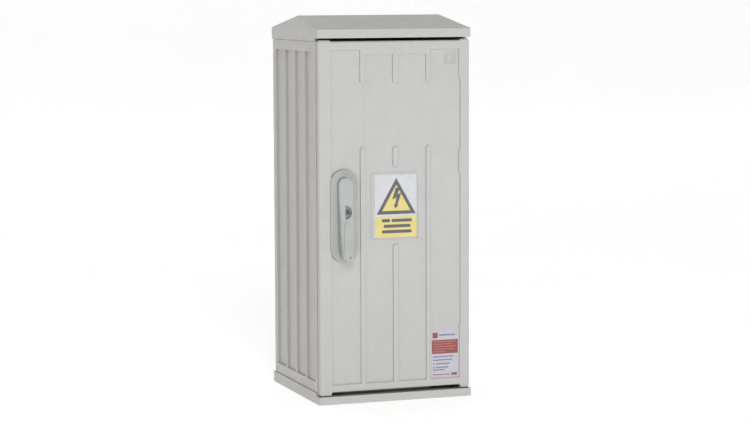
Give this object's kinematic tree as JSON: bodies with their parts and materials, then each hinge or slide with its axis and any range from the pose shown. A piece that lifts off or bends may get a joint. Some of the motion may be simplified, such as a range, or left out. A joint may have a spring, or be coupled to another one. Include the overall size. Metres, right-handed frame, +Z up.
{
  "type": "outdoor electrical cabinet",
  "caption": "Free-standing grey polyester cable cabinet with ridged roof, ribbed hinged door, swing-lever lock, fuse-switch, busbar and cable clamps.",
  "frame": {"origin": "centre of the foundation bolt pattern in the base's underside", "axes": "+Z up, the door faces -Y, +X is the hinge side"},
  "size_m": [0.269, 0.2834, 0.639],
  "materials": {
    "smc_grey": "pressed polyester, satin",
    "zinc_steel": "zinc plated",
    "screw_steel": "zinc plated",
    "lock_metal": "nickel plated",
    "handle_plastic": "moulded polyamide",
    "grip_plastic": "moulded polyamide",
    "black_plastic": "moulded polyamide",
    "switch_plastic": "moulded thermoset",
    "cover_plastic": "moulded, smoked",
    "ceramic": "glazed steatite",
    "copper": "copper",
    "support_plastic": "moulded thermoset",
    "pocket_plastic": "moulded polystyrene",
    "plate_laminate": "glass laminate",
    "seal_rubber": "foam rubber",
    "sticker": "printed film",
    "label": "printed film"
  },
  "bodies": {
    "cabinet": {"base_tray": "smc_grey", "side_wall_right": "smc_grey", "side_wall_left": "smc_grey", "rear_wall": "smc_grey", "roof": "smc_grey", "upper_cross_rail": "smc_grey", "lower_cross_rail": "smc_grey", "upper_keeper": "zinc_steel", "lower_keeper": "zinc_steel", "hinge_pin_lower": "zinc_steel", "hinge_pin_upper": "zinc_steel", "hinge_washer": "black_plastic", "mounting_plate": "plate_laminate", "standoffs": "zinc_steel", "plate_screws": "screw_steel", "standoff_screws": "screw_steel", "switch_body": "switch_plastic", "fuse_jaws": "copper", "switch_terminals": "copper", "terminal_bolts": "screw_steel", "pen_busbar": "copper", "busbar_supports": "support_plastic", "busbar_bolts": "screw_steel", "support_screws": "screw_steel", "clamp_rail": "zinc_steel", "rail_spacers": "zinc_steel", "rail_screws": "screw_steel", "cable_clamps": "black_plastic", "clamp_bolts": "screw_steel", "roof_screws": "screw_steel", "base_screws": "screw_steel", "rear_wall_screws": "screw_steel", "rail_side_screws": "screw_steel"},
    "door": {"door": "smc_grey", "door_seal": "seal_rubber", "document_pocket": "pocket_plastic", "warning_sticker": "sticker", "type_label": "label", "lock_plate": "handle_plastic", "lock_plate_screws": "screw_steel", "lock_case": "black_plastic", "rod_guides": "black_plastic"},
    "lock_hub": {"lock_hub": "handle_plastic", "spindle": "zinc_steel", "lock_pinion": "zinc_steel", "lever_pivot_pin": "zinc_steel"},
    "lever": {"lever": "handle_plastic", "lever_grip": "grip_plastic", "lock_cylinder": "lock_metal"},
    "cylinder_plug": {"cylinder_plug": "lock_metal", "cylinder_cam": "lock_metal"},
    "upper_lock_rod": {"upper_lock_rod": "zinc_steel"},
    "lower_lock_rod": {"lower_lock_rod": "zinc_steel"},
    "switch_cover": {"switch_cover": "cover_plastic", "fuse_links": "ceramic"}
  },
  "joints": [
    {"name": "door_hinge", "type": "hinge", "parent": "cabinet", "child": "door", "pos_m": [0.1275, -0.12, 0.3], "axis": [0, 0, 1], "range_deg": [0, 115]},
    {"name": "handle_turn", "type": "hinge", "parent": "door", "child": "lock_hub", "pos_m": [-0.0895, -0.122, 0.362], "axis": [0, -1, 0], "range_deg": [0, 90]},
    {"name": "lever_swing", "type": "hinge", "parent": "lock_hub", "child": "lever", "pos_m": [-0.0895, -0.1349, 0.3705], "axis": [-1, 0, 0], "range_deg": [0, 28]},
    {"name": "cylinder_turn", "type": "hinge", "parent": "lever", "child": "cylinder_plug", "pos_m": [-0.0875, -0.137, 0.3195], "axis": [0, -1, 0], "range_deg": [0, 90]},
    {"name": "upper_rod_slide", "type": "slide", "parent": "door", "child": "upper_lock_rod", "axis": [0, 0, 1], "range_m": [-0.0185, 0.0002]},
    {"name": "lower_rod_slide", "type": "slide", "parent": "door", "child": "lower_lock_rod", "axis": [0, 0, 1], "range_m": [-0.0002, 0.0185]},
    {"name": "cover_hinge", "type": "hinge", "parent": "cabinet", "child": "switch_cover", "pos_m": [0, 0.032, 0.262], "axis": [1, 0, 0], "range_deg": [0, 80]}
  ],
  "couplings": [
    {"joint": "upper_rod_slide", "follows": "handle_turn", "m_per_rad": -0.0115},
    {"joint": "lower_rod_slide", "follows": "handle_turn", "m_per_rad": 0.0115}
  ]
}
